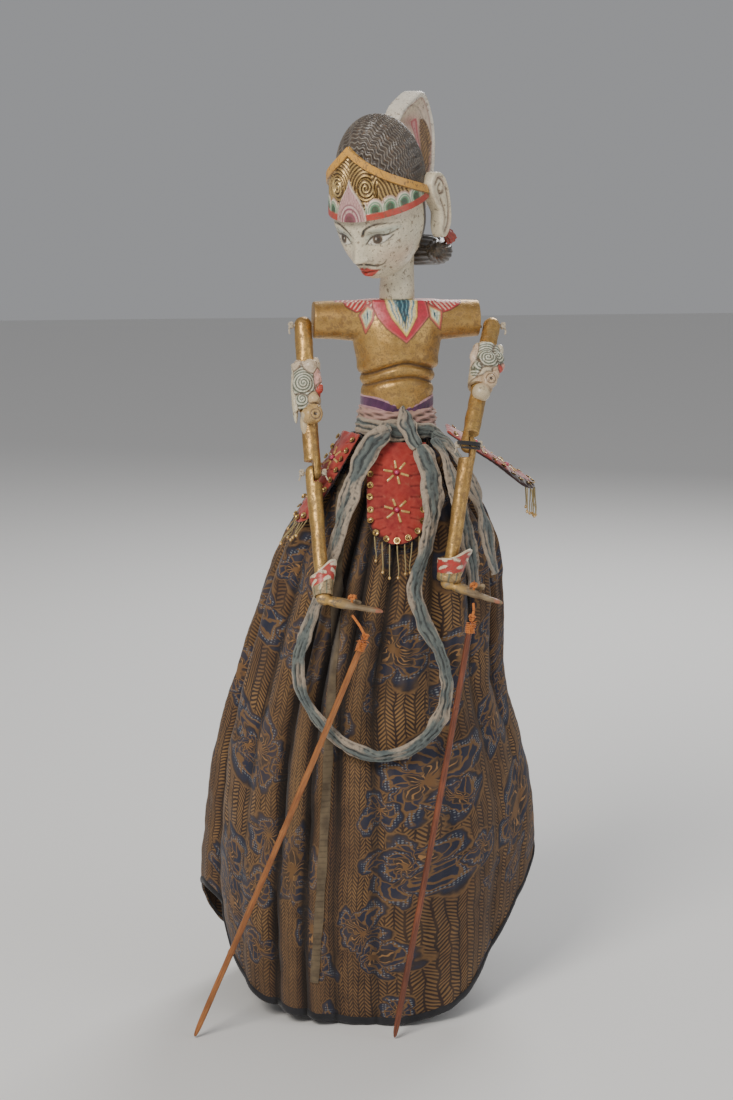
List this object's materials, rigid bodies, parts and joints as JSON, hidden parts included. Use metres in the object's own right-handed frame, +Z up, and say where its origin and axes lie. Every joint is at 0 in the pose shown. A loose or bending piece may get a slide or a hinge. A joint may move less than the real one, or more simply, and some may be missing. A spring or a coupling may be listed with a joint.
{
  "type": "rod puppet",
  "caption": "Carved and painted rod puppet in a long patterned skirt, with a turning head, jointed arms and a hand rod on each palm, standing on a round base.",
  "frame": {"origin": "middle of the underside of the stand's base, on the central rod's axis", "axes": "+Z up along the central rod; the puppet faces -Y; +X is the puppet's left side, so right_ nodes are at -X"},
  "size_m": [0.2657, 0.2215, 0.6557],
  "materials": {
    "stand_wood": "dark oiled wood",
    "rod_wood": "bare wood",
    "gilded_wood": "gold paint worn to brown",
    "painted_wood": "cream paint with painted colours",
    "worn_wood": "worn gold over grey wood",
    "patterned_cotton": "printed cotton, matt",
    "dark_tape": "woven tape, matt",
    "pale_facing": "cotton, matt",
    "dark_cord": "twisted cord",
    "pink_cloth": "cotton, matt",
    "purple_ribbon": "ribbon",
    "sash_cloth": "faded cotton",
    "red_velvet": "velvet",
    "sequins": "gold, polished",
    "beads": "glass beads",
    "fringe_thread": "waxed thread",
    "joint_cord": "cotton cord",
    "orange_string": "cotton string",
    "hand_rod_wood": "oiled bamboo"
  },
  "bodies": {
    "stand": {"stand_base": "stand_wood"},
    "torso": {"torso": "gilded_wood", "waist_band": "pink_cloth", "waist_ribbon": "purple_ribbon", "drawstring": "dark_cord", "skirt": "patterned_cotton", "hem_binding": "dark_tape", "seam_facing": "pale_facing", "sash_loop": "sash_cloth", "sash_tails": "sash_cloth", "front_flap": "red_velvet", "front_flap_sequins": "sequins", "front_flap_flowers": "beads", "front_flap_fringe": "fringe_thread"},
    "central_rod": {"central_rod": "rod_wood", "stop_peg": "rod_wood"},
    "head": {"head": "painted_wood"},
    "right_shoulder": {"right_shoulder_cord": "joint_cord"},
    "right_upper_arm": {"right_upper_arm": "gilded_wood", "right_armlet": "painted_wood", "right_shoulder_knot": "joint_cord"},
    "right_forearm": {"right_forearm": "gilded_wood", "right_elbow_cord": "joint_cord", "right_bracelet": "painted_wood", "right_wrist_dowel": "rod_wood", "right_hand": "worn_wood", "right_string_knot": "orange_string"},
    "right_string": {"right_rod_string": "orange_string"},
    "right_hand_rod": {"right_hand_rod": "hand_rod_wood", "right_rod_binding": "orange_string"},
    "left_shoulder": {"left_shoulder_cord": "joint_cord"},
    "left_upper_arm": {"left_upper_arm": "gilded_wood", "left_armlet": "painted_wood", "left_shoulder_knot": "joint_cord"},
    "left_forearm": {"left_forearm": "gilded_wood", "left_elbow_cord": "joint_cord", "left_bracelet": "painted_wood", "left_wrist_dowel": "rod_wood", "left_hand": "worn_wood", "left_string_knot": "orange_string"},
    "left_string": {"left_rod_string": "orange_string"},
    "left_hand_rod": {"left_hand_rod": "hand_rod_wood", "left_rod_binding": "orange_string"},
    "right_flap": {"right_flap": "red_velvet", "right_flap_sequins": "sequins", "right_flap_flowers": "beads", "right_flap_fringe": "fringe_thread"},
    "left_flap": {"left_flap": "red_velvet", "left_flap_sequins": "sequins", "left_flap_flowers": "beads", "left_flap_fringe": "fringe_thread"}
  },
  "joints": [
    {"name": "puppet_lift", "type": "slide", "parent": "stand", "child": "torso", "axis": [0, 0, 1], "range_m": [0, 0.1]},
    {"name": "rod_push", "type": "slide", "parent": "torso", "child": "central_rod", "axis": [0, 0, 1], "range_m": [0, 0.018]},
    {"name": "head_turn", "type": "hinge", "parent": "central_rod", "child": "head", "pos_m": [0, 0, 0.545], "axis": [0, 0, 1], "continuous": true},
    {"name": "right_shoulder_swing", "type": "hinge", "parent": "torso", "child": "right_shoulder", "pos_m": [-0.0678, 0, 0.494], "axis": [-1, 0, 0], "range_deg": [0, 60]},
    {"name": "right_shoulder_spread", "type": "hinge", "parent": "right_shoulder", "child": "right_upper_arm", "pos_m": [-0.0678, 0, 0.494], "axis": [0, 1, 0], "range_deg": [0, 30]},
    {"name": "right_elbow", "type": "hinge", "parent": "right_upper_arm", "child": "right_forearm", "pos_m": [-0.0645, -0.034, 0.3925], "axis": [-1, 0, 0], "range_deg": [0, 85]},
    {"name": "right_rod_swing", "type": "hinge", "parent": "right_forearm", "child": "right_string", "pos_m": [-0.04346, -0.08779, 0.3006], "axis": [-1, 0, 0], "range_deg": [0, 60]},
    {"name": "right_rod_spread", "type": "hinge", "parent": "right_string", "child": "right_hand_rod", "pos_m": [-0.0345, -0.092, 0.286], "axis": [0, 1, 0], "range_deg": [-10, 40]},
    {"name": "left_shoulder_swing", "type": "hinge", "parent": "torso", "child": "left_shoulder", "pos_m": [0.0685, -0.002, 0.492], "axis": [-1, 0, 0], "range_deg": [0, 60]},
    {"name": "left_shoulder_spread", "type": "hinge", "parent": "left_shoulder", "child": "left_upper_arm", "pos_m": [0.0685, -0.002, 0.492], "axis": [0, -1, 0], "range_deg": [0, 30]},
    {"name": "left_elbow", "type": "hinge", "parent": "left_upper_arm", "child": "left_forearm", "pos_m": [0.0416, -0.066, 0.415], "axis": [-1, 0, 0], "range_deg": [0, 85]},
    {"name": "left_rod_swing", "type": "hinge", "parent": "left_forearm", "child": "left_string", "pos_m": [0.04229, -0.08651, 0.30672], "axis": [-1, 0, 0], "range_deg": [0, 60]},
    {"name": "left_rod_spread", "type": "hinge", "parent": "left_string", "child": "left_hand_rod", "pos_m": [0.0405, -0.091, 0.297], "axis": [0, -1, 0], "range_deg": [-10, 40]},
    {"name": "right_flap_lift", "type": "hinge", "parent": "torso", "child": "right_flap", "pos_m": [-0.033, -0.0095, 0.417], "axis": [-0.342, 0.9397, 0], "range_deg": [0, 5]},
    {"name": "left_flap_lift", "type": "hinge", "parent": "torso", "child": "left_flap", "pos_m": [0.035, -0.003, 0.418], "axis": [-0.1219, -0.9925, 0], "range_deg": [0, 45]}
  ]
}
